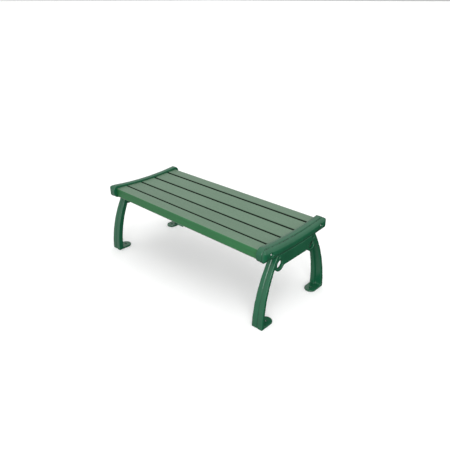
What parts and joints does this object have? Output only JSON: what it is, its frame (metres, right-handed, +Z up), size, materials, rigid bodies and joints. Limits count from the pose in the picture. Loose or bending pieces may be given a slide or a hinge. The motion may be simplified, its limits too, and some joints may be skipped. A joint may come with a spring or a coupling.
{
  "type": "backless park bench",
  "caption": "Backless park bench with green plastic planks between two cast end frames, each with a moulded end rail and bowed legs.",
  "frame": {"origin": "centre of the footprint, on the ground", "axes": "+X along the planks, +Y from the front plank to the rear one, +Z up"},
  "size_m": [1.219, 0.533, 0.4289],
  "materials": {
    "plank_plastic": "matt, finely streaked along the plank",
    "cast_coating": "semi-gloss dark green powder coat on cast aluminium",
    "batten_coating": "semi-gloss dark green powder coat on steel flat bar",
    "stainless": "bright stainless steel"
  },
  "bodies": {
    "root": {"front_plank": "plank_plastic", "front_inner_plank": "plank_plastic", "middle_plank": "plank_plastic", "rear_inner_plank": "plank_plastic", "rear_plank": "plank_plastic", "right_end_rail": "cast_coating", "left_end_rail": "cast_coating", "right_leg_frame": "cast_coating", "left_leg_frame": "cast_coating", "seat_batten": "batten_coating", "right_end_screws": "stainless", "left_end_screws": "stainless", "right_seat_screws": "stainless", "left_seat_screws": "stainless", "right_seat_washers": "stainless", "left_seat_washers": "stainless", "batten_screws": "stainless"}
  },
  "joints": []
}
